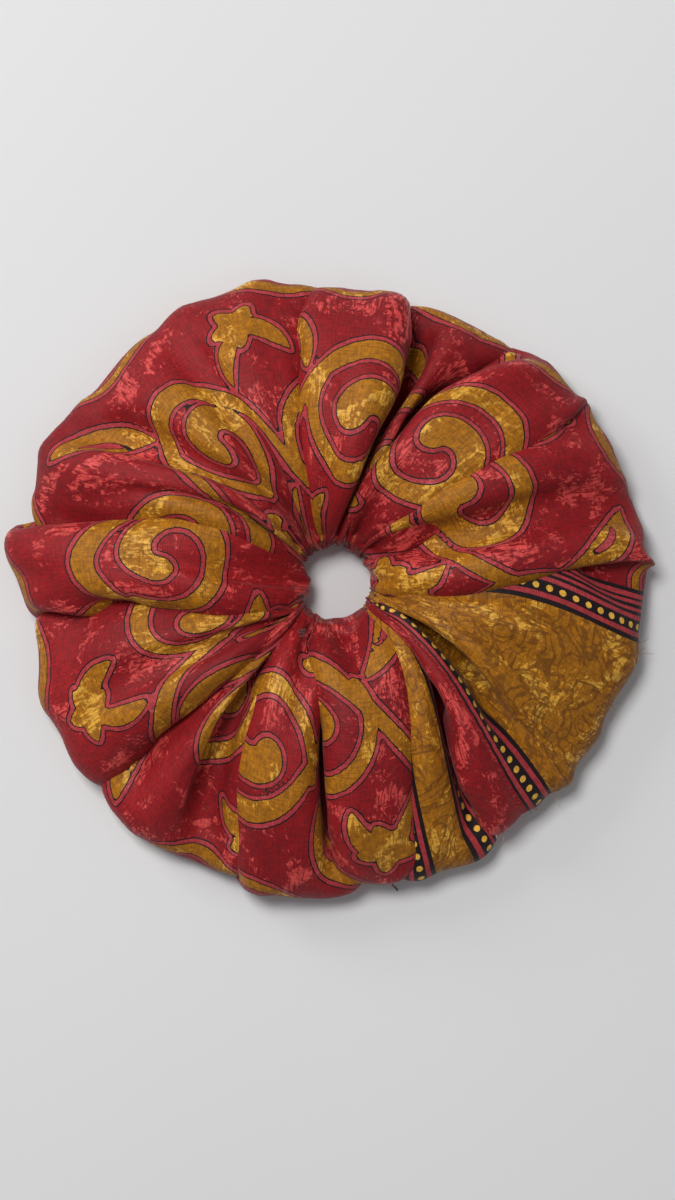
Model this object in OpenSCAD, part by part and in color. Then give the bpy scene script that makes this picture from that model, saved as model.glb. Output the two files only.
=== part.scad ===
/* [Ring of cloth] */
// Mean radius of the cloth ring's rim
outer_r = 100.5; // [85:0.5:120]
// Radius of the hole that hair goes through
hole_r = 12.4; // [10:0.2:18]
// Height of the tallest puff above the table
ring_h = 38; // [28:1:46]
// How far the puffs' rims stand out from the valleys between them
lobe_depth = 5; // [2:0.5:8]
// How much lower the valleys are than the puffs' crowns
valley_drop = 9; // [3:1:14]
// Thickness of the gathered cloth
cloth_t = 0.6; // [0.4:0.1:1.2]
// Gap between the two halves that the stretch pulls apart
split_gap = 0.4; // [0.3:0.1:1]

/* [Elastic] */
// Width of the flat elastic
elastic_w = 6; // [4:0.5:8]
// Thickness of the flat elastic
elastic_t = 1; // [0.6:0.1:1.4]
// Gap between the hole's edge and the elastic
elastic_inset = 2.6; // [2.2:0.1:4]
// Angle that the lapped ends of the elastic cover
lap_angle = 32; // [20:2:50]
// Number of zigzag stitches in the lapped join
lap_stitches = 7; // [4:1:10]

/* [Thread] */
// Diameter of the sewing thread
thread_d = 0.5; // [0.4:0.05:0.8]
// Length of one stitch in the closing seam
stitch_l = 3; // [2:0.5:5]

/* [Hidden] */

// Puffs of cloth round the ring: centre angle, half width (both in degrees),
// and how full each one is, from 0 to 1.
PUFFS = [[-55, 9, 0.7], [-26, 13, 0.9], [-3, 11, 1], [20, 13, 0.9], [39, 8, 0.5],
         [54, 13, 1], [80, 11, 0.8], [104, 11, 1], [128, 16, 1], [152, 14, 1],
         [177, 11, 1.3], [200, 14, 0.9], [222, 10, 0.8], [238, 11, 1],
         [261, 12, 1], [286, 12, 0.9]];
around_step = 4.5;
section_pts = 20;
// Height of the hole's edge, and of the rim, which sags a little below it
inner_h = 13;
rim_drop = 4;
rim_z = inner_h - rim_drop;
// Share of the underside's half width that lies flat on the table
flat_share = 0.3;
seam_angle = -48;
elastic_z = 13;
elastic_r = hole_r + elastic_inset + elastic_t;
thread_gap = 0.08;
red = [0.62, 0.14, 0.17];
ivory = [0.93, 0.91, 0.86];
maroon = [0.4, 0.05, 0.1];

// Difference between two angles, from -180 to 180
function turn(a, b) = (a - b + 540) % 360 - 180;

// Fullness of the cloth at an angle: the tallest puff there, and 0 in a valley
function fullness(a) =
    max([for (p = PUFFS) p[2] * max(0, 1 - pow(turn(a, p[0]) / p[1], 2))]);

function rim_r(a) = outer_r - lobe_depth / 2 + lobe_depth * fullness(a);
function crown_h(a) = ring_h - valley_drop + valley_drop * min(1, fullness(a));

// One point of the cloth's cross-section at an angle: f goes once round the tube
// from the hole's edge over the top, and inset moves it into the cloth.
function section_point(a, f, inset) =
    let (c = cos(f), s = sin(f),
         r_in = hole_r + inset,
         r_out = rim_r(a) - inset,
         share = (1 - sign(c) * pow(abs(c), 0.85)) / 2,
         r = r_in + (r_out - r_in) * share,
         fat = pow(abs(s), 0.8),
         top = inner_h + (crown_h(a) - inner_h - inset) * fat,
         base = inner_h - inner_h / (1 - flat_share) * fat + inset,
         sag = rim_drop * share * (1 - fat),
         z = (s >= 0 ? top : base) - sag)
    [r * cos(a), r * sin(a), max(inset, z)];

// Half of the ring from angle a0 through 180 degrees: an open-ended hollow tube.
module half_cover(a0) {
    rings = round(180 / around_step);
    n = section_pts;
    skin = function (inset) [for (i = [0:rings], j = [0:n - 1])
        section_point(a0 + i * 180 / rings, j * 360 / n, inset)];
    inner = (rings + 1) * n;
    wall = [for (i = [0:rings - 1], j = [0:n - 1])
        let (a = i * n + j, b = i * n + (j + 1) % n) [a, b, b + n, a + n]];
    outside = [for (q = wall) each [[q[2], q[1], q[0]], [q[3], q[2], q[0]]]];
    inside = [for (q = wall) each [[q[0] + inner, q[1] + inner, q[2] + inner],
                                   [q[0] + inner, q[2] + inner, q[3] + inner]]];
    start_face = [for (j = [0:n - 1]) let (k = (j + 1) % n)
        each [[j, k, k + inner], [j, k + inner, j + inner]]];
    last = rings * n;
    end_face = [for (j = [0:n - 1]) let (k = (j + 1) % n)
        each [[last + k, last + j, last + j + inner],
              [last + k, last + j + inner, last + k + inner]]];
    polyhedron(concat(skin(0), skin(cloth_t)),
               concat(outside, inside, start_face, end_face));
}

// A thread bent along part of a circle
module arc_thread(r, a0, sweep, d) {
    rotate([0, 0, a0]) rotate_extrude(angle = sweep, $fn = 96)
        translate([r, 0]) circle(d = d, $fn = 16);
}

module cover_left() {
    color(red) translate([-split_gap / 2, 0, 0]) half_cover(90);
}

module cover_right() {
    color(red) translate([split_gap / 2, 0, 0]) half_cover(-90);
}

// Flat elastic loop; its two ends are lapped on the left
module elastic_band() {
    color(ivory) translate([0, 0, elastic_z - elastic_w / 2]) {
        difference() {
            cylinder(h = elastic_w, r = elastic_r, $fn = 96);
            translate([0, 0, -1]) cylinder(h = elastic_w + 2, r = elastic_r - elastic_t, $fn = 96);
        }
        rotate([0, 0, 180 - lap_angle / 2]) rotate_extrude(angle = lap_angle, $fn = 96)
            translate([elastic_r - elastic_t / 2, 0]) square([elastic_t * 1.5, elastic_w]);
    }
}

// Zigzag of thread that lies on the outside of the elastic's lapped ends
module elastic_join_stitches() {
    r = elastic_r + elastic_t + thread_d / 2 + thread_gap;
    step = lap_angle * 0.8 / lap_stitches;
    color(maroon) for (i = [0:lap_stitches - 1])
        rotate([0, 0, 180 - lap_angle * 0.4 + (i + 0.5) * step])
            translate([r, 0, elastic_z])
                rotate([i % 2 == 0 ? 14 : -14, 0, 0])
                    cylinder(h = elastic_w * 0.7, d = thread_d, center = true, $fn = 16);
}

// The long seam runs round the ring inside the tube, low down near the hole
long_seam_r = hole_r + 12;
long_seam_z = 6;
module long_seam_left() {
    color(maroon) translate([-split_gap / 2, 0, long_seam_z])
        arc_thread(long_seam_r, 90, 180, thread_d);
}

module long_seam_right() {
    color(maroon) translate([split_gap / 2, 0, long_seam_z])
        arc_thread(long_seam_r, -90, 180, thread_d);
}

// Stitches that join the strip's two ends, in a row inside the top of the tube
seam_start_r = hole_r + 16;
seam_end_r = outer_r - 22;
seam_z = 20;
module closing_seam_stitches() {
    count = floor((seam_end_r - seam_start_r) / stitch_l);
    color(maroon) rotate([0, 0, seam_angle]) for (i = [0:count - 1])
        translate([seam_start_r + i * stitch_l, 0, seam_z]) rotate([0, 90, 0])
            cylinder(h = stitch_l * 0.75, d = thread_d, $fn = 16);
}

// Dark knot of thread where the sewing ends, on the slope of the cloth beside the hole
knot_d = 2;
knot_angle = 238;
module seam_knot() {
    slope = [-cos(knot_angle), -sin(knot_angle), 1] / sqrt(2);
    spot = section_point(knot_angle, 36, 0);
    color(maroon) translate(spot + slope * (knot_d / 2 + thread_gap * 2))
        sphere(d = knot_d, $fn = 24);
}

// Short cut-off thread at the rim's bottom corner
module thread_tail() {
    tail_angle = -79;
    color(maroon) rotate([0, 0, tail_angle])
        translate([rim_r(tail_angle) + thread_gap * 4, 0, rim_z]) rotate([0, 90, 40])
            cylinder(h = 3, d = thread_d, $fn = 16);
}

// Frayed ends that stand out of the rim, each a short straight thread
FRAY_ANGLES = [-12, -24, -29, -44, -50, -57];
module frayed_threads() {
    color(red) for (a = FRAY_ANGLES) rotate([0, 0, a])
        translate([rim_r(a) + thread_gap * 2, 0, rim_z]) rotate([0, 90, 25])
            cylinder(h = 3, d = thread_d * 0.8, $fn = 16);
}

cover_left();
cover_right();
elastic_band();
elastic_join_stitches();
long_seam_left();
long_seam_right();
closing_seam_stitches();
seam_knot();
thread_tail();
frayed_threads();
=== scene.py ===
"""A scrunchie: a gathered tube of printed satin, sewn shut round a flat elastic."""
import math

import bpy
import numpy as np
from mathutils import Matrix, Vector


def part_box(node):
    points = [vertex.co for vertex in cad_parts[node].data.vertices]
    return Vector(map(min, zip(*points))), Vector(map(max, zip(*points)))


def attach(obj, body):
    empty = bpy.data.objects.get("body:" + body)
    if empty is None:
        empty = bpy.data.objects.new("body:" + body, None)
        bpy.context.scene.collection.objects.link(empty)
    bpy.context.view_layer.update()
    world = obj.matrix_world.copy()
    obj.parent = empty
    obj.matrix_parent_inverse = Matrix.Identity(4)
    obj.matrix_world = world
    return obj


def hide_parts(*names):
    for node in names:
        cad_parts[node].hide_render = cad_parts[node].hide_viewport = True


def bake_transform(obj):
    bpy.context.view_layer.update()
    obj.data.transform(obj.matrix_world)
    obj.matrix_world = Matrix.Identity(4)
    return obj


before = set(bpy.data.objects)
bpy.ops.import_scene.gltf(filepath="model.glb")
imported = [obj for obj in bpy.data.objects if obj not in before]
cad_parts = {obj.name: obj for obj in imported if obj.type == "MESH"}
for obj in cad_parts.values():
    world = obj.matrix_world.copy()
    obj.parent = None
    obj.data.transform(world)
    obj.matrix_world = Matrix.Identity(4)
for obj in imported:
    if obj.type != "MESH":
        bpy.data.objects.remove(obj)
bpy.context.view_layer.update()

MM = 0.001

# ---------------------------------------------------------------- camera, floor and light
scene = bpy.context.scene
CAMERA_UP = 1.1
FRAME_TALL = 0.386
FRAME_AT = (0.0011, -0.0058)
CLOTH_UP = 0.02
SENSOR = 36.0


def make_camera():
    """Looks straight down, with the frame's tall side along Y."""
    data = bpy.data.cameras.new("camera")
    data.sensor_width = SENSOR
    data.lens = SENSOR * (CAMERA_UP - CLOTH_UP) / FRAME_TALL
    camera = bpy.data.objects.new("camera", data)
    camera.location = (*FRAME_AT, CAMERA_UP)
    scene.collection.objects.link(camera)
    scene.camera = camera


def area_light(name, place, size, power, colour):
    """A square light that faces the middle of the object."""
    data = bpy.data.lights.new(name, "AREA")
    data.size = size
    data.energy = power
    data.color = colour
    light = bpy.data.objects.new(name, data)
    light.location = place
    light.rotation_euler = (-Vector(place)).to_track_quat("-Z", "Y").to_euler()
    scene.collection.objects.link(light)


make_camera()
area_light("window", (-0.38, 0.48, 1.4), 0.5, 15.5, (1.0, 0.985, 0.96))
area_light("raking", (-1.1, 0.9, 0.75), 0.6, 7.5, (1.0, 0.98, 0.95))
area_light("fill", (0.9, -0.5, 1.5), 1.6, 1.8, (0.95, 0.97, 1.0))
scene.view_settings.view_transform = "Standard"
world = bpy.data.worlds.new("studio")
world.use_nodes = True
world.node_tree.nodes["Background"].inputs["Color"].default_value = (0.97, 0.98, 1.0, 1)
world.node_tree.nodes["Background"].inputs["Strength"].default_value = 0.2
scene.world = world
# ---------------------------------------------------------------- cloth: its layout
# The cover is a strip sewn into a tube: u runs along the strip from its closing seam, anticlockwise,
# and v runs round the tube, from the hair hole over the top to the rim and back underneath.
STRIP_L = 1050.0
TUBE_W = 204.0
NU, NV = 344, 72
DU, DV = STRIP_L / NU, TUBE_W / NV
HALF = NV // 2
HOLE_R = 12.4
LONG_SEAM_V = 190.0

# Every fold line is told by its polar angles, in degrees, at these radii.
STATIONS = (13, 32, 65, 100)
# lean: +1 where the puff after the fold lies over it, -1 where the puff before does, 0 in a crease.
# hidden: how much cloth is tucked under at the hole, half way and at the rim.
# full: height of the puff after the fold. reach: how far out each of its crests goes, as a share of CREST.
# fades: the fold runs out before it reaches the rim. crease: how high a crease stands between its puffs.
# lip: how far the puff hangs into the hole. slant: how far its last crest leans over near the hole.
FOLDS = [
    dict(name="G", line=(-34, -41, -57, -61), lean=1, hidden=(3, 8, 8), full=0.78, reach=(1.08, 1.06)),
    dict(name="F", line=(-23, -24, -38, -41), lean=1, hidden=(4, 8, -5), full=0.75, reach=(1.05, 1.13),
         slant=0.4, fades=True),
    dict(name="E", line=(-7, -8, 3, 3), lean=1, hidden=(3, 13, -7), full=0.9, reach=(1.08, 1.06),
         fades=True),
    dict(name="D2", line=(42, 20, 17, 14), lean=0, crease=0.5, full=0.88, reach=(1.05, 1.04)),
    dict(name="D", line=(48, 42, 37, 30), lean=-1, hidden=(3, 12, -6), full=0.98, reach=(1.05, 1.0),
         fades=True),
    dict(name="C", line=(75, 69, 64, 48), lean=-1, hidden=(2, 6, 26), full=0.55, reach=(1.06, 1.0)),
    dict(name="B", line=(97, 78, 69, 73), lean=1, hidden=(2, 6, 12), full=1.0, reach=(0.98, 0.98)),
    dict(name="A", line=(109, 101, 100, 97), lean=-1, hidden=(3, 14, 13), full=1.0,
         reach=(1.1, 1.04, 1.04, 0.99, 1.18)),
    dict(name="N", line=(148, 142, 163, 171), lean=1, hidden=(3, 16, 12), full=0.95, reach=(1.22, 1.04),
         lip=2.6),
    dict(name="M", line=(214, 196, 183, 187), lean=-1, hidden=(2, 8, 14), full=0.9,
         reach=(1.08, 1.17, 1.10)),
    dict(name="L", line=(219, 221, 220, 223), lean=-1, hidden=(3, 10, 15), full=0.72, reach=(1.16, 1.20)),
    dict(name="K", line=(221, 228, 236, 246), lean=0, crease=0.35, full=0.75, reach=(1.08,)),
    dict(name="J", line=(223, 230, 244, 252), lean=1, hidden=(3, 9, 12), full=0.85, reach=(1.09, 1.21)),
    dict(name="I", line=(253, 260, 265, 269), lean=1, hidden=(2, 9, 12), full=0.88, reach=(1.01, 1.05)),
    dict(name="H", line=(319, 313, 290, 283), lean=-1, hidden=(2, 7, 8), full=0.75, reach=(1.20,)),
]
# Cross-sections of the tube as (radius, height): through the middle of a full puff, and in a deep fold.
CREST = [(12.4, 13), (13.5, 20), (18, 27), (28, 34), (46, 38), (68, 34.5), (86, 26), (97, 16), (100, 9),
         (96, 3), (86, 0.6), (62, 0), (38, 0.4), (24, 3), (15, 8)]
VALLEY = [(13, 13), (14, 17), (19, 19), (28, 18.5), (46, 15), (64, 11.5), (77, 9), (85, 7.5), (88, 5.5),
          (84, 4.5), (75, 8), (58, 10), (38, 9), (25, 7), (15, 9)]
RIM_POINT = 8
EDGE_FULL = 0.8
EDGE_BACK = 0.06
RIM_TUCK = 1.03
HOLE_SCALLOP = 2.4


def section(points, rows):
    """Evenly spaced rows of points along a closed smooth curve, with the rim point at the middle row."""
    knots = np.array(points, float)
    count, fine = len(knots), 40
    t = np.linspace(0, count, count * fine, endpoint=False)
    i = t.astype(int)
    f = (t - i)[:, None]
    a, b, c, d = (knots[(i + k) % count] for k in (-1, 0, 1, 2))
    cubic = -a + 3 * b - 3 * c + d
    curve = 0.5 * (2 * b + (c - a) * f + (2 * a - 5 * b + 4 * c - d) * f**2 + cubic * f**3)
    curve = np.vstack([curve, curve[:1]])
    along = np.concatenate([[0], np.cumsum(np.linalg.norm(np.diff(curve, axis=0), axis=1))])
    rim = along[RIM_POINT * fine]
    over = np.linspace(0, rim, rows // 2, endpoint=False)
    under = np.linspace(rim, along[-1], rows - rows // 2, endpoint=False)
    want = np.concatenate([over, under])
    return np.stack([np.interp(want, along, curve[:, k]) for k in (0, 1)], axis=1)


def smooth_loop(knots, values, period, at):
    """A smooth closed curve through values at knots, read off at the places at."""
    k = np.concatenate([[knots[-1] - period], knots, [knots[0] + period, knots[1] + period]])
    v = np.concatenate([values[-1:], values, values[:1], values[1:2]])
    flat = (-1,) + (1,) * (v.ndim - 1)
    step = np.diff(k)
    slope = np.diff(v, axis=0) / step.reshape(flat)
    share = (step[1:] / (step[1:] + step[:-1])).reshape(flat)
    tangent = slope[:-1] * share + slope[1:] * (1 - share)
    at = (at - knots[0]) % period + knots[0]
    i = np.clip(np.searchsorted(k, at, side="right") - 1, 1, len(k) - 3)
    gap = step[i].reshape(flat)
    t = ((at - k[i]) / step[i]).reshape(flat)
    start = (2 * t**3 - 3 * t**2 + 1) * v[i] + (t**3 - 2 * t**2 + t) * gap * tangent[i - 1]
    end = (3 * t**2 - 2 * t**3) * v[i + 1] + (t**3 - t**2) * gap * tangent[i]
    return start + end


def fold_columns():
    """The control columns in order round the ring, each as (name, polar angles, radii, heights) by row."""
    crest, valley = section(CREST, NV), section(VALLEY, NV)
    ramp = 8
    on_top = np.concatenate([np.ones(HALF), np.linspace(1, 0, ramp), np.zeros(HALF - 2 * ramp),
                             np.linspace(0, 1, ramp)])
    columns = []

    run_out = np.clip((crest[:, 0] - 48) / 30, 0, 1)
    run_out = run_out * run_out * (3 - 2 * run_out)

    def add(name, angle_at, full, reach, fade_to=None, lip=0.0):
        if fade_to is not None:
            full = full + (fade_to - full) * run_out[:, None]
        shape = valley + (crest - valley) * full
        out = np.clip((shape[:, 0] - 40) / 55, 0, 1)
        radius = HOLE_R + (shape[:, 0] - HOLE_R) * (1 + (reach - 1) * out)
        radius += (HOLE_SCALLOP * (0.6 - np.mean(full)) - lip) * np.exp((HOLE_R - radius) / 6)
        columns.append((name, angle_at(radius), radius, shape[:, 1]))

    for q, fold in enumerate(FOLDS):
        before = FOLDS[q - 1]
        after = FOLDS[(q + 1) % len(FOLDS)]
        full_turn = 360 if q == len(FOLDS) - 1 else 0
        here, there = np.array(fold["line"]), np.array(after["line"]) + full_turn

        def tucked(r, side, here=here, hidden=fold.get("hidden")):
            turn = np.degrees(np.interp(r, (13, 60, 100), hidden) / np.maximum(r, 13))
            return np.interp(r, STATIONS, here) + side * turn * (0.25 + 0.75 * on_top)

        def between(r, share, slant=0.0, here=here, there=there):
            share = share + slant * np.clip((90 - r) / 60, 0, 1)
            return np.interp(r, STATIONS, here) * (1 - share) + np.interp(r, STATIONS, there) * share

        def on_line(r):
            return between(r, 0)

        name = fold["name"]
        fades = "fades" in fold
        full_before, full_after = before["full"], fold["full"]
        reach_before, reach_after = before["reach"][-1], fold["reach"][0]
        nearer = min(reach_after, reach_before)
        fade = min(full_after, full_before) * 0.97 if fades else None
        back = 0.01 if fades else EDGE_BACK
        rim = nearer - 0.01 if fades else RIM_TUCK
        if fold["lean"] == 0:
            add(name + "_crease", on_line, fold["crease"], nearer)
        elif fold["lean"] > 0:
            add(name + "_under", lambda r: tucked(r, 1), 0.0, rim, fade)
            add(name + "_edge", on_line, full_after * EDGE_FULL, reach_after - back, fade)
        else:
            add(name + "_edge", on_line, full_before * EDGE_FULL, reach_before - back, fade)
            add(name + "_under", lambda r: tucked(r, -1), 0.0, rim, fade)
        crests = len(fold["reach"])
        for c, reach in enumerate(fold["reach"]):
            share = (0.3, 0.7)[c] if crests == 2 else (c + 1) / (crests + 1)
            dip = 0.86 if crests > 2 and c % 2 else 1.0
            slant = fold.get("slant", 0) if c == crests - 1 else 0
            add(f"{name}_crest{c}", lambda r: between(r, share, slant), fold["full"] * dip, reach,
                lip=fold.get("lip", 0))
    return columns


def laid_out():
    """The cover's points before it settles, [NU, NV, 3], in millimetres."""
    columns = fold_columns()
    names = [c[0] for c in columns]
    angle = np.radians([c[1] for c in columns])
    radius = np.array([c[2] for c in columns])
    height = np.array([c[3] for c in columns])
    points = np.stack([radius * np.cos(angle), radius * np.sin(angle), height], axis=2)
    chord = np.linalg.norm(np.roll(points, -1, 0) - points, axis=2)
    wide = np.maximum(np.quantile(chord[:, 6:40], 0.9, axis=1), 9)
    wide *= STRIP_L / wide.sum()
    knots = np.concatenate([[0], np.cumsum(wide)[:-1]])
    first = names.index("G_crest0")
    seam = knots[first] * 0.35 + knots[first + 1] * 0.65
    u = np.arange(NU) * DU + seam
    turn = angle - math.tau * (knots / STRIP_L)[:, None]
    loop = smooth_loop(knots, np.stack([turn, radius, height], axis=2), STRIP_L, u)
    polar = loop[..., 0] + math.tau * (u / STRIP_L)[:, None]
    return np.stack([loop[..., 1] * np.cos(polar), loop[..., 1] * np.sin(polar), loop[..., 2]], axis=2)


# ---------------------------------------------------------------- cloth: it settles
SETTLE_STEPS = 60
PASSES = 5
SETTLE_SEED = 3
LAYER_GAP = 2.3
# Per step: the share of speed kept, the fall, the push of the fullness inside, and the fastest move.
SPEED_KEPT = 0.92
FALL = 0.01
FULLNESS = 0.03
FASTEST = 1
# How strongly the laid-out shape draws the cloth back, on top and underneath.
HOLD_TOP = 0.03
HOLD_UNDER = 0.0105
# Cloth this low lies on the table, and keeps this share of its speed.
TABLE_UP = 0.15
TABLE_GRIP = 0.4


def relax(a, b, rest, pull, push, wa, wb):
    """Moves the two ends of each spring so that its length nears rest."""
    d = b - a
    length = np.sqrt((d * d).sum(-1)) + 1e-9
    off = (length - rest) / length
    share = off * np.where(off > 0, pull, push) / (wa + wb + 1e-9)
    move = d * share[..., None]
    return a + move * wa[..., None], b - move * wb[..., None]


def springs(cloth, weight, rest, pull, push, span=1, axis=0):
    """One pass over the springs that join every point to the one span further on, along u or v."""
    p, w, r = (np.moveaxis(x, axis, 0) for x in (cloth, weight, rest))
    for shift in (0, span):
        y, ww, rr = (np.roll(x, -shift, 0) for x in (p, w, r))
        for q in range(span):
            left, right = slice(q, None, 2 * span), slice(q + span, None, 2 * span)
            y[left], y[right] = relax(y[left], y[right], rr[left], pull, push, ww[left], ww[right])
        p = np.roll(y, shift, 0)
    return np.moveaxis(p, 0, axis)


def diagonals(cloth, weight, rest, pull, push, slant):
    """One pass over the springs that join every point to its diagonal neighbour."""
    for shift in (0, 1):
        y, w, r = (np.roll(x, -shift, 0) for x in (cloth, weight, rest))
        far, far_w = np.roll(y[1::2], -slant, 1), np.roll(w[1::2], -slant, 1)
        near, far = relax(y[0::2], far, r[0::2], pull, push, w[0::2], far_w)
        y[0::2], y[1::2] = near, np.roll(far, slant, 1)
        cloth = np.roll(y, shift, 0)
    return cloth


def inward(cloth):
    """Unit normals that point into the tube."""
    n = np.cross(np.roll(cloth, -1, 0) - np.roll(cloth, 1, 0), np.roll(cloth, -1, 1) - np.roll(cloth, 1, 1))
    return n / (np.linalg.norm(n, axis=2, keepdims=True) + 1e-9)


def blurred(x, times):
    for _ in range(times):
        x = (np.roll(x, 1, 0) + 2 * x + np.roll(x, -1, 0)) / 4
        x = (np.roll(x, 1, 1) + 2 * x + np.roll(x, -1, 1)) / 4
    return x


def layer_pairs(points, gap):
    """Indices of points that share a cell of size gap or have neighbouring cells."""
    cell = np.floor(points / gap).astype(np.int64)
    cell -= cell.min(0) - 1
    size = cell.max(0) + 2
    key = (cell[:, 0] * size[1] + cell[:, 1]) * size[2] + cell[:, 2]
    order = np.argsort(key, kind="stable")
    ranked = key[order]
    steps = [(a, b, c) for a in (-1, 0, 1) for b in (-1, 0, 1) for c in (-1, 0, 1) if (a, b, c) >= (0, 0, 0)]
    first, second = [], []
    for a, b, c in steps:
        wanted = key + (a * size[1] + b) * size[2] + c
        low, high = np.searchsorted(ranked, wanted, "left"), np.searchsorted(ranked, wanted, "right")
        for t in range(min(int((high - low).max()), 8)):
            chosen = np.nonzero(high - low > t)[0]
            other = order[low[chosen] + t]
            if (a, b, c) == (0, 0, 0):
                keep = other > chosen
                chosen, other = chosen[keep], other[keep]
            first.append(chosen)
            second.append(other)
    return np.concatenate(first), np.concatenate(second)


def part_layers(cloth, tested, place, gap, near=3):
    """Pushes apart points of different folds that are nearer to each other than gap."""
    flat = cloth.reshape(-1, 3)
    points = flat[tested]
    i, j = layer_pairs(points, gap)
    du, dv = np.abs(place[i, 0] - place[j, 0]), np.abs(place[i, 1] - place[j, 1])
    far = (np.minimum(du, NU - du) > near) | (np.minimum(dv, NV - dv) > near)
    i, j = i[far], j[far]
    d = points[j] - points[i]
    length = np.linalg.norm(d, axis=1) + 1e-9
    hit = length < gap
    i, j, d, length = i[hit], j[hit], d[hit], length[hit]
    push = d * ((gap - length) / length * 0.5)[:, None]
    n = len(points)
    moves = [np.bincount(j, push[:, k], n) - np.bincount(i, push[:, k], n) for k in range(3)]
    move = np.stack(moves, axis=1)
    hits = np.bincount(i, minlength=n) + np.bincount(j, minlength=n)
    flat[tested] += move / np.maximum(hits, 1)[:, None]


def settled(start):
    """The cover after its springs, fullness, gravity, the table and its own layers have acted on it.

    It is also drawn softly back to the shape it was laid out in. Layers are parted on this coarse grid only,
    so the refined cover still passes through itself in places.
    """
    random = np.random.default_rng(SETTLE_SEED)
    rows = np.arange(NV)
    from_hole = np.minimum(rows, NV - rows) * DV
    slack = 1.11 + 0.25 * np.exp(-((from_hole / 28) ** 2)) + np.where(rows > HALF + 4, 0.15, 0)
    lie_u = blurred(np.linalg.norm(np.roll(start, -1, 0) - start, axis=2), 5)
    lie_v = blurred(np.linalg.norm(np.roll(start, -1, 1) - start, axis=2), 5)
    rest_u = np.minimum(DU, slack * lie_u).astype(np.float32)
    rest_v = np.clip(1.03 * lie_v, 0.8 * DV, DV).astype(np.float32)
    rest_d = np.hypot(rest_u, rest_v)
    weight = np.ones((NU, NV), np.float32)
    weight[:, [0, 1, NV - 1]] = 0
    small = blurred(random.normal(size=(NU, NV, 1)), 3) * 5
    large = blurred(random.normal(size=(NU, NV, 1)), 14) * 26
    crumple = small + large
    away = np.clip(from_hole / 20, 0, 1)[None, :, None]
    cloth = (start - inward(start) * crumple * away).astype(np.float32)
    tested = np.nonzero((rest_u / DU > 0.6).reshape(-1))[0]
    place = np.stack([tested // NV, tested % NV], axis=1)
    keep_shape = np.where(rows < HALF + 3, HOLD_TOP, HOLD_UNDER).astype(np.float32)[None, :, None]
    keep_shape = keep_shape * weight[..., None]
    speed = np.zeros_like(cloth)
    for step in range(SETTLE_STEPS):
        before = cloth.copy()
        cloth = cloth + speed * SPEED_KEPT
        cloth[..., 2] -= FALL
        cloth -= inward(cloth) * FULLNESS * weight[..., None]
        cloth += keep_shape * blurred((start - cloth).astype(np.float32), 6)
        for _ in range(PASSES):
            cloth = springs(cloth, weight, rest_u, 1.0, 0.6, axis=0)
            cloth = springs(cloth, weight, rest_v, 1.0, 0.7, axis=1)
            cloth = diagonals(cloth, weight, rest_d, 0.3, 0.2, 1)
            cloth = diagonals(cloth, weight, rest_d, 0.3, 0.2, -1)
            for span, stiff in ((2, 0.25), (4, 0.12)):
                cloth = springs(cloth, weight, rest_u * span, 0.0, stiff, span, axis=0)
                cloth = springs(cloth, weight, rest_v * span, 0.0, stiff, span, axis=1)
        cloth = np.ascontiguousarray(cloth)
        if step % 2 == 0:
            part_layers(cloth, tested, place, LAYER_GAP)
        low = cloth[..., 2] < TABLE_UP
        cloth[..., 2] = np.maximum(cloth[..., 2], TABLE_UP)
        speed = cloth - before
        speed[low] *= TABLE_GRIP
        fast = np.linalg.norm(speed, axis=2)
        speed *= np.minimum(1, FASTEST / np.maximum(fast, 1e-6))[..., None]
    return cloth


def refined(cloth):
    """Twice as many points each way, on a smooth surface through the old ones."""
    for axis in (0, 1):
        a, b, c, d = (np.roll(cloth, -k, axis) for k in (-1, 0, 1, 2))
        middle = (9 * (b + c) - a - d) / 16
        shape = list(cloth.shape)
        shape[axis] *= 2
        both = np.stack([cloth, middle], axis=axis + 1)
        cloth = both.reshape(shape)
    return cloth
# ---------------------------------------------------------------- the print
# The print is a signed distance in millimetres from the edge of the gold shapes, below 0 in the gold.
# Shapes are strokes of round brush marks, (u, v, half width), on the strip laid flat.
FAR = 12.0


def leaf(u, v, length, wide, turn, bend=0.0):
    """A leaf with two pointed ends: turn is its direction in degrees, and bend bows its middle sideways."""
    t = np.linspace(0, 1, 15)
    along, side = (t - 0.5) * length, bend * np.sin(np.pi * t)
    c, s = math.cos(math.radians(turn)), math.sin(math.radians(turn))
    half = wide * np.sin(np.pi * t) ** 0.8
    return np.stack([u + along * c - side * s, v + along * s + side * c, half], axis=1)


def scroll(u, v, size, turn, sweep, thin, fat, stretch=1.0, tail=0.38):
    """A curl that winds inwards and grows from thin to fat: stretch widens it along the strip."""
    t = np.linspace(0, 1, 30)
    angle = np.radians(turn + sweep * t)
    radius = size * (1 - (1 - tail) * t**0.8)
    half = thin + (fat - thin) * t**1.5
    return np.stack([u + stretch * radius * np.cos(angle), v + radius * np.sin(angle), half], axis=1)


def flower(u, v, size, lobes, turn, stretch=1.0):
    """Pointed petals round a heart."""
    marks = [np.array([[u, v, size * 0.42], [u + 0.1, v, size * 0.42]])]
    for k in range(lobes):
        a = math.radians(turn + 360 * k / lobes)
        reach = np.linspace(0, 1, 8)
        half = size * 0.36 * np.sin(np.pi * (0.3 + 0.7 * reach)) ** 0.9
        x = u + stretch * reach * size * math.cos(a)
        marks.append(np.stack([x, v + reach * size * math.sin(a), half], axis=1))
    return marks


# The print is a vine that winds along the strip, once on the top side and once underneath.
VINE_PITCH = 124.0
VINE_START = 66.0
VINE_SWING = 24.0
VINE_ROWS = (49.0, 153.0)
RIM_ROW = 103.0
PRINT_SEED = 4


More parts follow.
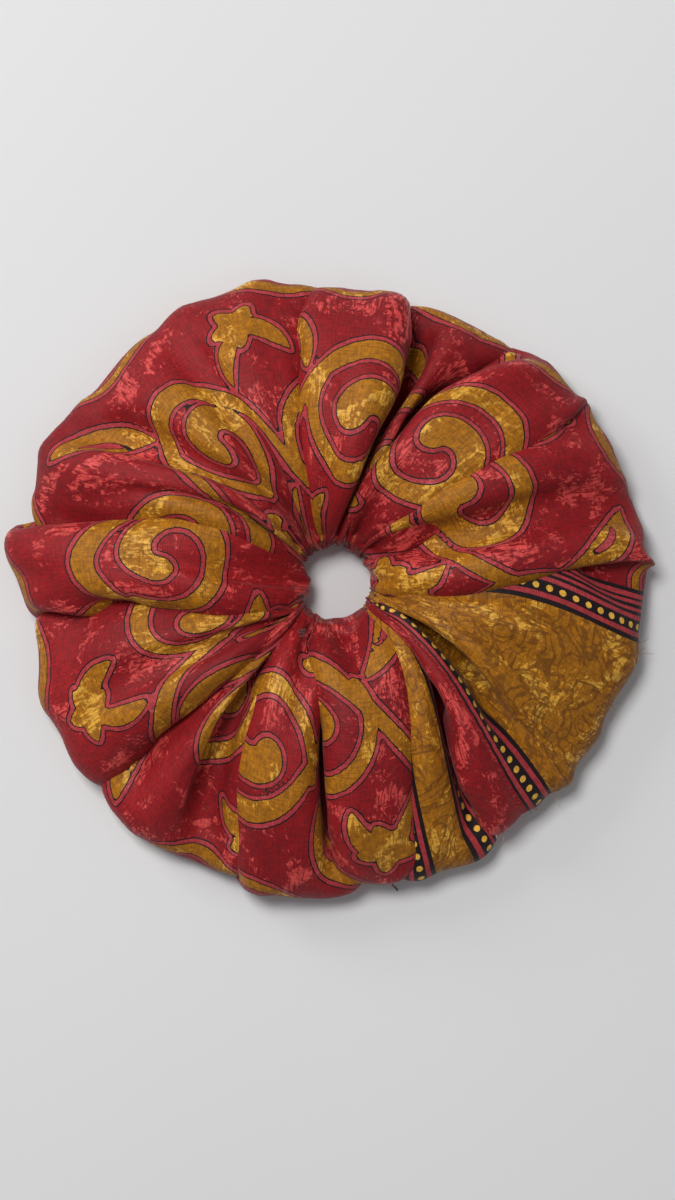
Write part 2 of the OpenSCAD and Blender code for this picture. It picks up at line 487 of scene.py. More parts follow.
def vine_bend(u, v, hand, random):
    """One bend of the vine: a scroll, three leaves and a flower, and the opening in the largest leaf."""
    u, v = u + random.uniform(-4, 4), v + random.uniform(-2, 2)
    size = random.uniform(20, 24)
    fat = random.uniform(4.6, 6.2)
    lean = hand * random.uniform(20, 45)
    side = u + VINE_PITCH / 4
    leaf_turn = hand * random.uniform(40, 80)
    gold = [
        scroll(u, v + 2 * hand, size, lean, -hand * random.uniform(330, 380), 2.0, fat, 1.12, 0.30),
        leaf(side + 2, v + 33 * hand, 34, 4.8, leaf_turn, 4),
        leaf(u - 27, v + 24 * hand, 20, 3.0, hand * random.uniform(100, 140), -3),
        leaf(u + 24, v - 29 * hand, 22, 3.4, -hand * random.uniform(10, 50), 4),
        *flower(side - 2, v - 35 * hand, random.uniform(8, 10), 5, random.uniform(0, 72), 1.15),
    ]
    holes = [
        leaf(side + 2, v + 33 * hand, 17, 1.5, leaf_turn, 3),
    ]
    return gold, holes


def vine_stem(row, phase):
    """The stem, a wave that swells in its bends."""
    u = np.linspace(0, STRIP_L, 240)
    turn = math.tau * (u - VINE_START) / VINE_PITCH + phase
    return np.stack([u, row + VINE_SWING * np.sin(turn), 2.0 + 1.2 * np.sin(turn) ** 2], axis=1)


def rim_tendril():
    """A slim band that sways along the rim."""
    u = np.linspace(0, STRIP_L, 240)
    turn = math.tau * (u - VINE_START) / (VINE_PITCH / 2)
    return np.stack([u, RIM_ROW + 7 * np.sin(turn + 0.8), 1.7 + 0.6 * np.cos(turn / 2)], axis=1)


def print_shapes():
    """All the gold shapes and the openings in them, in the order in which they are drawn."""
    random = np.random.default_rng(PRINT_SEED)
    gold, holes = [rim_tendril()], []
    for row, phase in zip(VINE_ROWS, (0.0, math.pi / 2)):
        gold.append(vine_stem(row, phase))
        first = VINE_START + VINE_PITCH * (0.25 - phase / math.tau)
        for k in range(int(2 * STRIP_L / VINE_PITCH) + 1):
            hand = -1 if k % 2 else 1
            more_gold, more_holes = vine_bend(first + k * VINE_PITCH / 2, row, hand, random)
            gold += more_gold
            holes += more_holes
    return gold, holes


def stamped(distance, marks, u, v):
    """The distance field with one stroke added."""
    reach = FAR + marks[:, 2].max()
    across = np.nonzero((u > marks[:, 0].min() - reach) & (u < marks[:, 0].max() + reach))[0]
    round_it = np.nonzero((v > marks[:, 1].min() - reach) & (v < marks[:, 1].max() + reach))[0]
    if not len(across) or not len(round_it):
        return
    area = np.ix_(across, round_it)
    x, y = u[across][:, None], v[round_it][None, :]
    best = distance[area]
    for (au, av, ar), (bu, bv, br) in zip(marks[:-1], marks[1:]):
        du, dv = bu - au, bv - av
        t = np.clip(((x - au) * du + (y - av) * dv) / (du * du + dv * dv + 1e-9), 0, 1)
        best = np.minimum(best, np.hypot(x - au - t * du, y - av - t * dv) - ar - t * (br - ar))
    distance[area] = best


def printed(cloth):
    """The print's distance at every point of the cover, so that gathers leave its outlines equally wide."""
    nu, nv = cloth.shape[:2]
    u, v = np.arange(nu) * STRIP_L / nu, np.arange(nv) * TUBE_W / nv
    v = np.where(v < LONG_SEAM_V, v, v - TUBE_W)
    gold, holes = np.full((nu, nv), FAR), np.full((nu, nv), FAR)
    shapes, openings = print_shapes()
    for marks in shapes:
        stamped(gold, marks, u, v)
    for marks in openings:
        stamped(holes, marks, u, v)
    distance = np.maximum(gold, -holes)
    step_u = np.linalg.norm(np.roll(cloth, -1, 0) - np.roll(cloth, 1, 0), axis=2)
    step_v = np.linalg.norm(np.roll(cloth, -1, 1) - np.roll(cloth, 1, 1), axis=2)
    step_u, step_v = (blurred(s[..., None], 3)[..., 0] for s in (step_u, step_v))
    rise_u = (np.roll(distance, -1, 0) - np.roll(distance, 1, 0)) / step_u
    rise_v = (np.roll(distance, -1, 1) - np.roll(distance, 1, 1)) / step_v
    steep = blurred(np.hypot(rise_u, rise_v)[..., None], 1)[..., 0]
    return np.clip(distance / np.clip(steep, 0.7, 3.5), -FAR, FAR)


# Distance from the closing seam, and the place in the woven border there, on the strip's two ends.
RIGHT_END = ((0, 0.5, 13, 84, 101, 525), (-0.5, 0, 10, 64, 81, 400))
LEFT_END = ((0, 48, 58, 70, 86, 525), (-48, 0, 10, 64, 81, 400))


def border_place(u):
    """Where each u lies across the border, in mm: below 0 in the plain end, above 81 in the field."""
    right = np.interp(u, *RIGHT_END)
    left = np.interp(STRIP_L - u, *LEFT_END)
    return np.where(u < STRIP_L / 2, right, left)
# ---------------------------------------------------------------- materials
BLACK = (0.012, 0.006, 0.008)
PINK = (0.45, 0.042, 0.052)
GOLD_DYE = (0.47, 0.178, 0.005)
# Pale gold of the printed dots, also used as a painted sheen on the gold shapes.
GOLD_DOTS_AND_PAINTED_SHEEN = (0.92, 0.50, 0.07)
GOLD_BROWN = (0.20, 0.065, 0.004)
SELVEDGE = (0.75, 0.68, 0.60)
CRIMSON = (0.34, 0.009, 0.013)
CRIMSON_DEEP = (0.24, 0.006, 0.010)
# A painted sheen: the paler crimson of the woven patches.
CRIMSON_PAINTED_SHEEN = (0.90, 0.105, 0.095)


class Graph:
    """A material's node tree, built with short calls."""

    def __init__(self, name):
        self.material = bpy.data.materials.new(name)
        self.material.use_nodes = True
        self.tree = self.material.node_tree
        self.shader = self.tree.nodes["Principled BSDF"]

    def put(self, socket, value):
        """Links a socket to a node's output, or sets it to a number, vector or colour."""
        if isinstance(value, bpy.types.NodeSocket):
            self.tree.links.new(value, socket)
        elif isinstance(value, tuple) and socket.type == "RGBA":
            socket.default_value = (*value[:3], 1)
        else:
            socket.default_value = value

    def node(self, kind, inputs=(), **settings):
        node = self.tree.nodes.new("ShaderNode" + kind)
        for key, value in settings.items():
            setattr(node, key, value)
        for key, value in dict(inputs).items():
            self.put(node.inputs[key], value)
        return node

    def math(self, operation, a, b=0.0, clamp=False):
        return self.node("Math", {0: a, 1: b}, operation=operation, use_clamp=clamp).outputs[0]

    def vector(self, operation, a, b):
        return self.node("VectorMath", {0: a, 1: b}, operation=operation).outputs[0]

    def mix(self, share, a, b, blend="MIX"):
        node = self.node("Mix", data_type="RGBA", blend_type=blend)
        for key, value in (("Factor_Float", share), ("A_Color", a), ("B_Color", b)):
            self.put(next(s for s in node.inputs if s.identifier == key), value)
        return next(s for s in node.outputs if s.identifier == "Result_Color")

    def noise(self, place, scale, detail=2.0, rough=0.5, warp=0.0, **more):
        inputs = {"Vector": place, "Scale": scale, "Detail": detail, "Roughness": rough, "Distortion": warp}
        return self.node("TexNoise", inputs, **more).outputs[0]

    def wave(self, place, scale, warp, direction):
        inputs = {"Vector": place, "Scale": scale, "Distortion": warp}
        return self.node("TexWave", inputs, bands_direction=direction).outputs[1]

    def bump(self, height, strength, distance, **more):
        inputs = {"Height": height, "Strength": strength, "Distance": distance, **more}
        return self.node("Bump", inputs).outputs[0]

    def between(self, value, low, high):
        """0 below low, 1 above high, and a smooth rise in between."""
        inputs = {"Value": value, "From Min": low, "From Max": high}
        return self.node("MapRange", inputs, interpolation_type="SMOOTHSTEP").outputs[0]

    def bands(self, value, stops):
        """Flat bands of colour: each stop is (where the band starts, its colour)."""
        node = self.node("ValToRGB", {"Fac": value})
        ramp = node.color_ramp
        ramp.interpolation = "CONSTANT"
        while len(ramp.elements) < len(stops):
            ramp.elements.new(1.0)
        for element, (start, colour) in zip(ramp.elements, stops):
            element.position = start
            element.color = (*colour, 1)
        return node.outputs[0]

    def attribute(self, name):
        return self.node("Attribute", attribute_name=name).outputs["Fac"]

    def finish(self, **sockets):
        for key, value in sockets.items():
            self.put(self.shader.inputs[key.replace("_", " ")], value)
        return self.material


# The border, from the plain end to the field, as (place in millimetres where the band starts, colour).
BORDER_BANDS = [
    (0.0, CRIMSON), (0.1, BLACK), (0.9, PINK), (2.2, BLACK), (5.9, PINK), (7.9, BLACK), (10.0, GOLD_DYE),
    (64.0, BLACK), (65.6, PINK), (67.0, BLACK), (71.0, PINK), (72.3, BLACK), (73.6, PINK), (75.0, BLACK),
    (75.8, PINK), (77.2, BLACK), (78.0, PINK), (79.4, BLACK), (81.0, CRIMSON),
]
DOT_ROWS = (4.05, 69.0)
DOT_PITCH = 4.2
DOT_R = 1.05
BORDER_SPAN = 100.0
OUTLINES = ((0.45, BLACK), (1.8, PINK), (2.25, BLACK))


def satin_cloth():
    """Printed jacquard satin: crimson ground with woven patches that carry a painted sheen, gold shapes and
    a striped border.
    """
    g = Graph("printed_satin")
    uv = g.node("UVMap", uv_map="cloth").outputs[0]
    grain = g.vector("MULTIPLY", uv, (1.0, 0.22, 1.0))

    # Woven patches with feathery edges, which carry a painted sheen: paler crimson, gold and pink.
    patch = g.noise(uv, 62.0, 3.0, 0.55, 0.8)
    feather = g.noise(grain, 900.0, 2.0, 0.6, 0.6)
    strokes = g.noise(uv, 330.0, 3.0, 0.65, 1.6)
    woven = g.math("ADD", g.math("MULTIPLY", patch, 1.25), g.math("MULTIPLY", strokes, 0.75))
    woven_painted_sheen = g.between(woven, 1.06, 1.16)
    woven_painted_sheen = g.math("MULTIPLY", woven_painted_sheen, g.between(feather, 0.38, 0.55))
    drift = g.noise(uv, 14.0, 2.0, 0.5)
    thread = g.math("MULTIPLY", g.noise(g.vector("MULTIPLY", uv, (1500.0, 260.0, 1.0)), 1.0, 1.0, 0.5),
                    g.noise(g.vector("MULTIPLY", uv, (260.0, 1500.0, 1.0)), 1.0, 1.0, 0.5))

    ground = g.mix(g.between(drift, 0.35, 0.68), CRIMSON_DEEP, CRIMSON)
    # Painted sheen on the woven patches: paler crimson, gold and pink.
    ground = g.mix(g.math("MULTIPLY", woven_painted_sheen, 0.75), ground, CRIMSON_PAINTED_SHEEN)
    gold = g.mix(g.between(strokes, 0.36, 0.66), GOLD_BROWN, GOLD_DYE)
    gold = g.mix(0.55, gold, GOLD_DYE)
    gold = g.mix(g.math("MULTIPLY", woven_painted_sheen, 0.75), gold, GOLD_DOTS_AND_PAINTED_SHEEN)
    pink = g.mix(g.math("MULTIPLY", woven_painted_sheen, 0.4), PINK, (0.68, 0.13, 0.14))

    # The print: gold shapes with two black outlines and pink between them.
    ragged = g.math("MULTIPLY", g.math("SUBTRACT", g.noise(uv, 700.0, 2.0, 0.6), 0.5), 0.5)
    edge = g.math("ADD", g.attribute("print_mm"), ragged)
    field = ground
    for reach, colour in reversed(OUTLINES):
        field = g.mix(g.math("LESS_THAN", edge, reach), field, pink if colour == PINK else colour)
    field = g.mix(g.math("LESS_THAN", edge, 0.0), field, gold)

    # The border: bands, rows of dots and scrolling brown damask on gold.
    place = g.math("ADD", g.attribute("border_mm"), g.math("MULTIPLY", ragged, 0.7))
    stops = [(at / BORDER_SPAN, colour) for at, colour in BORDER_BANDS]
    border = g.bands(g.math("DIVIDE", place, BORDER_SPAN), stops)
    round_mm = g.math("MULTIPLY", g.node("SeparateXYZ", {0: uv}).outputs[1], 1000.0)
    along = g.math("SUBTRACT", g.math("PINGPONG", round_mm, DOT_PITCH / 2), DOT_PITCH / 2)
    dots = 0.0
    for row in DOT_ROWS:
        across = g.math("SUBTRACT", place, row)
        far = g.math("POWER", g.math("ADD", g.math("MULTIPLY", across, across),
                                     g.math("MULTIPLY", along, along)), 0.5)
        dots = g.math("ADD", dots, g.math("LESS_THAN", far, DOT_R))
    border = g.mix(dots, border, GOLD_DOTS_AND_PAINTED_SHEEN)
    curls = g.noise(uv, 78.0, 1.0, 0.4, 2.8)
    curl = g.math("MULTIPLY", g.between(curls, 0.46, 0.49), g.between(curls, 0.60, 0.57))
    damask = g.mix(g.math("MULTIPLY", curl, 0.75), gold, GOLD_BROWN)
    on_gold = g.math("MULTIPLY", g.math("GREATER_THAN", place, 10.0), g.math("LESS_THAN", place, 64.0))
    border = g.mix(on_gold, border, damask)
    in_border = g.math("MULTIPLY", g.math("GREATER_THAN", place, 0.1), g.math("LESS_THAN", place, 81.0))
    in_field = g.math("GREATER_THAN", place, 81.0)
    colour = g.mix(in_field, ground, field)
    colour = g.mix(in_border, colour, border)
    selvedge = g.math("MULTIPLY", g.math("GREATER_THAN", place, -0.7), g.math("LESS_THAN", place, -0.05))
    far_end = g.math("GREATER_THAN", g.node("SeparateXYZ", {0: uv}).outputs[0], STRIP_L * MM / 2)
    colour = g.mix(g.math("MULTIPLY", selvedge, far_end), colour, SELVEDGE)

    # Fine threads, and a painted highlight that pales the crowns of the folds.
    painted_crown_highlight = g.between(g.node("NewGeometry").outputs["Pointiness"], 0.52, 0.62)
    colour = g.mix(g.math("MULTIPLY", painted_crown_highlight, 0.10), colour, (0.85, 0.45, 0.40))
    colour = g.mix(g.between(thread, 0.14, 0.34), g.mix(0.34, colour, BLACK), colour)

    warp = g.wave(uv, 560.0, 0.4, "X")
    weft = g.wave(uv, 480.0, 0.4, "Y")
    weave = g.math("ADD", g.math("MULTIPLY", warp, weft), g.math("MULTIPLY", woven_painted_sheen, 0.8))
    weave = g.math("ADD", weave, g.math("MULTIPLY", thread, 0.6))
    bump = g.bump(weave, 0.32, 0.0002)
    crease = g.noise(uv, 190.0, 4.0, 0.6, 0.4)
    bump = g.bump(crease, 0.42, 0.0009, Normal=bump)

    rough = g.math("SUBTRACT", 0.58, g.math("MULTIPLY", woven_painted_sheen, 0.2))
    return g.finish(Base_Color=colour, Roughness=rough, Normal=bump, Specular_IOR_Level=0.22,
                    Sheen_Weight=0.05, Sheen_Roughness=0.4)


def thread_material(name, dye, pale):
    """Two-ply sewing thread with lighter fibres."""
    g = Graph(name)
    at = g.node("TexCoord").outputs["Object"]
    fibres = g.noise(at, 2600.0, 3.0, 0.6)
    colour = g.mix(g.between(fibres, 0.35, 0.7), dye, pale)
    bump = g.bump(fibres, 0.5, 0.0001)
    return g.finish(Base_Color=colour, Roughness=0.62, Normal=bump, Sheen_Weight=0.2)


def elastic_material():
    """Flat knitted elastic: ivory ribs along its length with a cross weave."""
    g = Graph("knitted_elastic")
    uv = g.node("UVMap", uv_map="UVMap").outputs[0]
    ribs = g.wave(uv, 300.0, 0.3, "Y")
    knit = g.wave(uv, 420.0, 0.8, "X")
    pattern = g.math("MULTIPLY", ribs, g.math("ADD", 0.5, g.math("MULTIPLY", knit, 0.5)))
    soil = g.noise(uv, 60.0, 3.0, 0.6)
    colour = g.mix(pattern, (0.52, 0.48, 0.40), (0.86, 0.83, 0.76))
    colour = g.mix(g.math("MULTIPLY", g.between(soil, 0.5, 0.8), 0.25), colour, (0.55, 0.45, 0.33))
    bump = g.bump(pattern, 0.6, 0.0003)
    return g.finish(Base_Color=colour, Roughness=0.78, Normal=bump, Sheen_Weight=0.15)


def floor_material():
    """A plain pale table with a faint unevenness."""
    g = Graph("pale_table")
    at = g.node("TexCoord").outputs["Object"]
    cloud = g.noise(at, 3.0, 2.0, 0.5)
    colour = g.mix(cloud, (0.70, 0.71, 0.73), (0.76, 0.765, 0.78))
    return g.finish(Base_Color=colour, Roughness=0.75, Specular_IOR_Level=0.2)

RIM_V = TUBE_W / 2
CREASE_SEED = 11
ELASTIC_W = 6.0
ELASTIC_T = 1.0
ELASTIC_R = 16.0
ELASTIC_Z = 13.0
# How many degrees the elastic's lapped ends cover.
LAP = 32.0
# The band's length for its weave, in metres.
ELASTIC_LONG = 0.11
# The room kept free of cloth round the band: its middle radius, half width and half height.
ELASTIC_ROOM_R = 15.6
ELASTIC_ROOM_W = 2.2
ELASTIC_ROOM_H = 4.6
# How much of their depth in that room the layers keep when they are pushed out, so that they stay in order.
LAYER_SQUEEZE = 0.15
LOWEST_CLOTH = 0.12

ZIGZAGS = 7
LONG_STITCH_PITCH = 7.0
LADDER_STITCHES = 26
TAIL_ANGLE = -79
FRAY_ANGLES = (-12, -24, -29, -44, -50, -57)
FRAY_LENGTH = 4.0
FRAY_SEED = 5


def add_object(name, points, faces, material):
    """A smooth mesh object from points in millimetres."""
    mesh = bpy.data.meshes.new(name)
    mesh.from_pydata((np.asarray(points) * MM).tolist(), [], [tuple(int(k) for k in f) for f in faces])
    mesh.update()
    mesh.polygons.foreach_set("use_smooth", [True] * len(mesh.polygons))
    mesh.materials.append(material)
    piece = bpy.data.objects.new(name, mesh)
    scene.collection.objects.link(piece)
    return piece


def add_uv(mesh, name, places):
    """A UV layer from one place for every corner of every face."""
    mesh.uv_layers.new(name=name).data.foreach_set("uv", places.astype(np.float32).ravel())


def stretches(piece, *nodes):
    """The piece stands for its CAD nodes, which it hides, and its place is baked into its points."""
    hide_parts(*nodes)
    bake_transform(piece)


def ring_faces(rings, sides, closed=False):
    """Quads between rings of points."""
    count = rings if closed else rings - 1
    i, j = np.meshgrid(np.arange(count), np.arange(sides), indexing="ij")
    a, b = i * sides + j, i * sides + (j + 1) % sides
    c, d = (i + 1) % rings * sides + (j + 1) % sides, (i + 1) % rings * sides + j
    return np.stack([a, b, c, d], axis=2).reshape(-1, 4)


def tube(path, radius, sides=8):
    """Points and faces of a capped tube along a path; radius may change along it."""
    path = np.asarray(path, float)
    radius = np.broadcast_to(radius, len(path))
    ahead = np.gradient(path, axis=0)
    ahead /= np.linalg.norm(ahead, axis=1, keepdims=True) + 1e-9
    side = np.zeros_like(ahead)
    last = np.array([0.31, 0.17, 0.93])
    for k, t in enumerate(ahead):
        last = last - t * (last @ t)
        last /= np.linalg.norm(last)
        side[k] = last
    up = np.cross(ahead, side)
    turn = np.arange(sides) / sides * math.tau
    ring = side[:, None] * np.cos(turn)[None, :, None] + up[:, None] * np.sin(turn)[None, :, None]
    points = (path[:, None] + ring * radius[:, None, None]).reshape(-1, 3)
    faces = [list(f) for f in ring_faces(len(path), sides)]
    faces.append(list(range(sides))[::-1])
    faces.append([len(points) - sides + k for k in range(sides)])
    return points, faces


def joined(parts):
    """Several (points, faces) as one."""
    points, faces, first = [], [], 0
    for p, f in parts:
        points.append(p)
        faces += [[k + first for k in face] for face in f]
        first += len(p)
    return np.concatenate(points), faces


def twisted(path, radius, pitch, strands=2):
    """Two-ply thread: thin strands wound round each other along a path."""
    path = np.asarray(path, float)
    along = np.concatenate([[0], np.cumsum(np.linalg.norm(np.diff(path, axis=0), axis=1))])
    at = np.linspace(0, along[-1], max(4, int(along[-1] / pitch * 8)))
    line = np.stack([np.interp(at, along, path[:, k]) for k in range(3)], axis=1)
    ahead = np.gradient(line, axis=0)
    ahead /= np.linalg.norm(ahead, axis=1, keepdims=True) + 1e-9
    side = np.cross(ahead, (0.31, 0.17, 0.93))
    side /= np.linalg.norm(side, axis=1, keepdims=True)
    up = np.cross(ahead, side)
    parts = []
    for k in range(strands):
        phase = (at / pitch + k / strands) * math.tau
        offset = side * np.cos(phase)[:, None] + up * np.sin(phase)[:, None]
        parts.append(tube(line + offset * radius * 0.5, radius * 0.62, 6))
    return joined(parts)


def cloth_at(u, v):
    """The cover's surface point, and the direction out of the tube, at a place on the strip."""
    nu, nv = fine.shape[:2]
    i, j = (u % STRIP_L) / STRIP_L * nu, (v % TUBE_W) / TUBE_W * nv
    i0, j0 = int(i), int(j)
    fi, fj = i - i0, j - j0
    corner = [(i0, j0, (1 - fi) * (1 - fj)), (i0 + 1, j0, fi * (1 - fj)),
              (i0, j0 + 1, (1 - fi) * fj), (i0 + 1, j0 + 1, fi * fj)]
    point = sum(fine[a % nu, b % nv] * w for a, b, w in corner)
    out = -sum(fine_inward[a % nu, b % nv] * w for a, b, w in corner)
    return point, out / np.linalg.norm(out)


def streaks(random, shape, wide, long):
    """Random ridges that run from the hole to the rim: wide and long are in grid steps."""
    ridges = random.normal(size=shape)
    for axis, size in ((0, wide), (1, long)):
        for _ in range(2 * size * size):
            ridges = (np.roll(ridges, 1, axis) + 2 * ridges + np.roll(ridges, -1, axis)) / 4
    return ridges / ridges.std()


def near(place, middle, spread):
    """1 at the middle, falling to 0 over the spread."""
    return np.exp(-(((place - middle) / spread) ** 2))


def fine_creases(cloth):
    """Wrinkles of the panels, small gathers at the hole, and the puckers along both seams."""
    nu, nv = cloth.shape[:2]
    u = np.arange(nu)[:, None] * STRIP_L / nu
    v = np.arange(nv)[None, :] * TUBE_W / nv
    from_hole = np.minimum(v, TUBE_W - v)
    random = np.random.default_rng(CREASE_SEED)
    sway = streaks(random, (nu, nv), 10, 6) * 0.12
    patches = np.clip(0.7 + 0.45 * streaks(random, (nu, nv), 9, 9), 0.1, 1.5)

    def waves(size, where, pitch, bend=1.0):
        return size * where * patches * np.sin(math.tau * (u / pitch + bend * sway))

    height = waves(0.75, near(from_hole, 12, 16), 15)
    height += waves(0.60, near(from_hole, 26, 22), 26, 0.6)
    height += waves(0.60, near(v, RIM_V, 12), 23)
    under = np.clip((v - RIM_V - 8) / 14, 0, 1) * np.clip((TUBE_W - v) / 10, 0, 1)
    height += waves(1.7, under, 21, 0.8)
    panel = np.clip((from_hole - 8) / 25, 0, 1)
    height += 0.75 * panel * np.tanh(1.5 * streaks(random, (nu, nv), 5, 12))
    height += 0.26 * panel * np.tanh(1.8 * streaks(random, (nu, nv), 2, 6))
    height -= 0.8 * near(v, LONG_SEAM_V, 2.2) * (1 + 0.4 * np.sin(math.tau * u / 6))
    height -= 0.7 * near(np.minimum(u, STRIP_L - u), 0, 1.9) * (1 + 0.35 * np.sin(math.tau * v / 5))
    return clear_of_elastic(cloth - inward(cloth) * height[..., None])


def clear_of_elastic(cloth):
    """Moves the tube's top side over the elastic band, and its underside below it but above the table."""
    across = np.hypot(cloth[..., 0], cloth[..., 1]) - ELASTIC_ROOM_R
    room = ELASTIC_ROOM_H * np.clip(1 - np.abs(across / ELASTIC_ROOM_W) ** 4, 0, 1) ** 0.25
    side = np.where(np.arange(cloth.shape[1]) < cloth.shape[1] // 2, 1, -1)[None, :]
    beyond = (cloth[..., 2] - ELASTIC_Z) * side - room
    squeezed = np.where((room > 0) & (beyond < 0), LAYER_SQUEEZE * beyond, beyond)
    cloth[..., 2] = np.maximum(ELASTIC_Z + side * (room + squeezed), LOWEST_CLOTH)
    return cloth


def make_cover():
    """The gathered tube of printed cloth."""
    nu, nv = fine.shape[:2]
    faces = ring_faces(nu, nv, closed=True)
    cover = add_object("fabric_cover", fine.reshape(-1, 3), faces, satin_cloth())
    mesh = cover.data
    border = np.repeat(border_place(np.arange(nu) * STRIP_L / nu)[:, None], nv, axis=1)
    for name, value in (("print_mm", printed(fine)), ("border_mm", border)):
        attribute = mesh.attributes.new(name, "FLOAT", "POINT")
        attribute.data.foreach_set("value", value.astype(np.float32).ravel())
    i, j = np.divmod(faces[:, 0], nv)
    iu = np.stack([i, i, i + 1, i + 1], axis=1)
    jv = np.stack([j, j + 1, j + 1, j], axis=1)
    u, v = iu * STRIP_L / nu, jv * TUBE_W / nv
    beyond_seam = (v[:, :1] >= LONG_SEAM_V - 0.01) * TUBE_W
    # In metres on the strip laid flat, with its break at the long seam.
    cloth_uv = np.stack([u, v - beyond_seam], axis=2) * MM
    add_uv(mesh, "cloth", cloth_uv)
    # For baking: the strip's two halves one above the other in the unit square, with a margin between them.
    row = (i >= nu // 2)[:, None]
    x = np.where(row, u - STRIP_L / 2, u) / (STRIP_L / 2)
    y = (v + np.where(row, TUBE_W, 0)) / (2 * TUBE_W)
    y = 0.004 + 0.992 * np.where(row, 0.5 + (y - 0.5) * 0.99 + 0.005, y * 0.99)
    x = 0.004 + 0.992 * x
    add_uv(mesh, "OFBake", np.stack([x, y], axis=2))
    return cover


def make_elastic():
    """A flat elastic loop with ribbed faces and its ends lapped on the left side."""
    turns, across = 240, 24
    half_lap = math.radians(LAP / 2)
    angle = np.linspace(-math.pi - half_lap, math.pi + half_lap, turns)
    share = np.linspace(0, 1, turns)
    lift = 0.55 * (np.clip((share - 0.86) / 0.06, 0, 1) - np.clip((0.14 - share) / 0.06, 0, 1))
    ring = np.arange(across) / across * math.tau
    ribs = 0.10 * np.sin(9 * math.pi * np.sin(ring))
    c, s = np.cos(ring), np.sin(ring)
    thick = (ELASTIC_T / 2) * np.sign(c) * np.abs(c) ** 0.35 + ribs * np.sign(c) * (np.abs(s) < 0.95)
    wide = (ELASTIC_W / 2) * s
    wobble = 0.12 * np.sin(26 * angle)
    radius = ELASTIC_R - ELASTIC_T / 2 + lift[:, None] + thick[None, :]
    height = ELASTIC_Z + wide[None, :] + wobble[:, None]
    points = np.stack([radius * np.cos(angle)[:, None], radius * np.sin(angle)[:, None], height], axis=2)
    faces = [list(f) for f in ring_faces(turns, across)]
    faces.append(list(range(across))[::-1])
    faces.append([(turns - 1) * across + k for k in range(across)])
    elastic = add_object("elastic_loop", points.reshape(-1, 3), faces, elastic_material())
    place = np.zeros((len(elastic.data.loops), 2))
    for k, loop in enumerate(elastic.data.loops):
        i, j = divmod(loop.vertex_index, across)
        place[k] = (i / turns * ELASTIC_LONG, wide[j] * MM)
    add_uv(elastic.data, "UVMap", place)
    return elastic


def make_elastic_stitches():
    """A zigzag of thread across the lapped ends of the elastic."""
    parts = []
    for side in (1, -1):
        path = []
        for k in range(ZIGZAGS * 2 + 1):
            a = math.pi + math.radians(LAP * 0.42) * (k / ZIGZAGS - 1)
            r = ELASTIC_R - ELASTIC_T / 2 + side * 1.25
            z = ELASTIC_Z + (2.0 if k % 2 else -2.0)
            path.append((r * math.cos(a), r * math.sin(a), z))
        parts.append(twisted(path, 0.2, 1.4))
    points, faces = joined(parts)
    return add_object("elastic_join_thread", points, faces, sewing_thread)


def stitch(start, end, out, lift, radius):
    """One short stitch that bows away from the cloth."""
    t = np.linspace(0, 1, 9)[:, None]
    path = start * (1 - t) + end * t + out * (lift * np.sin(math.pi * t) - 0.15)
    return tube(path, radius, 6)


def make_long_seam():
    """The stitches that close the tube all the way round, under the scrunchie."""
    parts = []
    for k in range(int(STRIP_L / LONG_STITCH_PITCH)):
        u = k * LONG_STITCH_PITCH
        a, out = cloth_at(u, LONG_SEAM_V - 0.4)
        b, _ = cloth_at(u + LONG_STITCH_PITCH * 0.62, LONG_SEAM_V + 0.4)
        parts.append(stitch(a, b, out, 0.35, 0.17))
    points, faces = joined(parts)
    points[:, 2] = np.maximum(points[:, 2], 0.05)
    return add_object("long_seam_thread", points, faces, red_thread)


def make_closing_seam():
    """Small ladder stitches where the strip's two ends meet."""
    parts = []
    for k in range(LADDER_STITCHES):
        v = 5 + 3.6 * k
        a, out = cloth_at(-0.7, v)
        b, _ = cloth_at(0.7, v + 1.2)
        parts.append(stitch(a, b, out, 0.25, 0.14))
    points, faces = joined(parts)
    return add_object("closing_seam_thread", points, faces, red_thread)


def make_knot():
    """The small dark knot that fastens off the long seam, by the hole."""
    low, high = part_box("seam_knot")
    middle = np.array((low + high) / 2) / MM
    t = np.linspace(0, math.tau, 60)
    x, y, z = np.sin(t) + 2 * np.sin(2 * t), np.cos(t) - 2 * np.cos(2 * t), -np.sin(3 * t)
    trefoil = np.stack([x, y, z], axis=1) * 0.42
    points, faces = twisted(trefoil + middle + (0, 0, 0.4), 0.34, 1.6)
    return add_object("fastening_knot", points, faces, dark_thread)


def rim_at(degrees):
    """The cover's outermost point at a polar angle, and the direction away from the hole there."""
    points = fine.reshape(-1, 3)
    out = np.array((math.cos(math.radians(degrees)), math.sin(math.radians(degrees)), 0))
    ahead, aside = points @ out, np.abs(points @ np.array((-out[1], out[0], 0)))
    return points[np.argmax(np.where(aside < 1.5, ahead, -1e9))], out


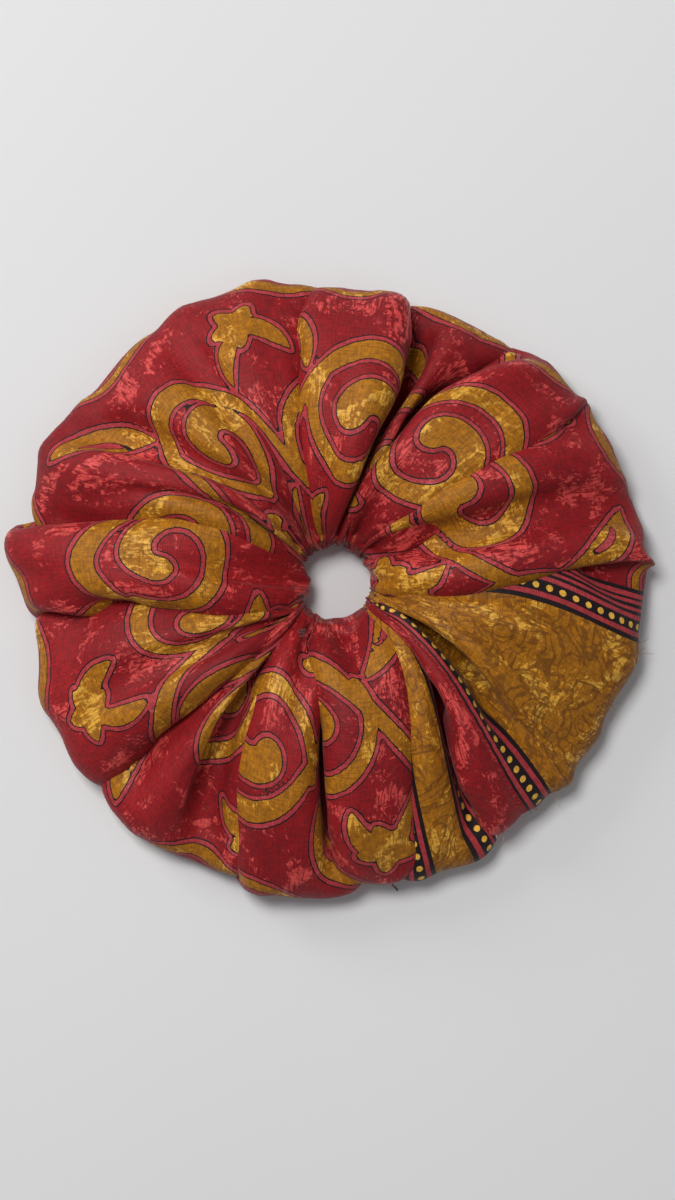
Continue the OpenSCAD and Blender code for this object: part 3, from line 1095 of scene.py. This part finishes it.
def make_loose_tail():
    """The end of thread that hangs out of the bottom of the rim, with a small hook at its tip."""
    start, out = rim_at(TAIL_ANGLE)
    t = np.linspace(0, 1, 30)[:, None]
    side = np.cross(out, (0, 0, 1))
    path = start - out * 1.5 + out * 5.0 * t + side * 0.9 * np.sin(5 * t) * t
    path[:, 2] = np.maximum(start[2] * (1 - t[:, 0]) ** 1.5, 0.4)
    points, faces = twisted(path, 0.26, 1.5)
    return add_object("loose_thread_end", points, faces, dark_thread)


def make_frays():
    """Loose filaments that stand out of the rim, two or three at a place."""
    random = np.random.default_rng(FRAY_SEED)
    parts = []
    for angle in FRAY_ANGLES:
        for _ in range(random.integers(2, 4)):
            start, out = rim_at(angle + random.uniform(-1.5, 1.5))
            length = FRAY_LENGTH * random.uniform(0.5, 1.2)
            t = np.linspace(0, 1, 14)[:, None]
            bend = random.normal(size=3) * 0.5
            path = start - out * 0.6 + (out + bend * 0.5) * length * t + bend * t * t * length * 0.6
            path[:, 2] = np.maximum(path[:, 2], 0.3)
            parts.append(tube(path, np.linspace(0.11, 0.06, 14), 5))
    points, faces = joined(parts)
    return add_object("frayed_filaments", points, faces, fray_thread)


def make_floor():
    """A plain table top, far wider than the view."""
    bpy.ops.mesh.primitive_plane_add(size=8)
    floor = bpy.context.object
    floor.name = "table_top"
    floor.data.materials.append(floor_material())


red_thread = thread_material("crimson_thread", (0.22, 0.012, 0.018), (0.42, 0.05, 0.06))
dark_thread = thread_material("dark_thread", (0.07, 0.004, 0.008), (0.18, 0.015, 0.02))
sewing_thread = thread_material("pale_thread", (0.50, 0.30, 0.26), (0.80, 0.70, 0.62))
fray_thread = thread_material("silk_filament", (0.36, 0.16, 0.05), (0.62, 0.36, 0.14))

fine = fine_creases(refined(settled(laid_out())))
fine_inward = inward(fine)

cover = make_cover()
stretches(cover, "cover_left", "cover_right")
stretches(make_elastic(), "elastic_band")
stretches(make_elastic_stitches(), "elastic_join_stitches")
stretches(make_long_seam(), "long_seam_left", "long_seam_right")
stretches(make_closing_seam(), "closing_seam_stitches")
stretches(make_knot(), "seam_knot")
stretches(make_loose_tail(), "thread_tail")
frays = make_frays()
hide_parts("frayed_threads")
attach(frays, "right_side")
make_floor()
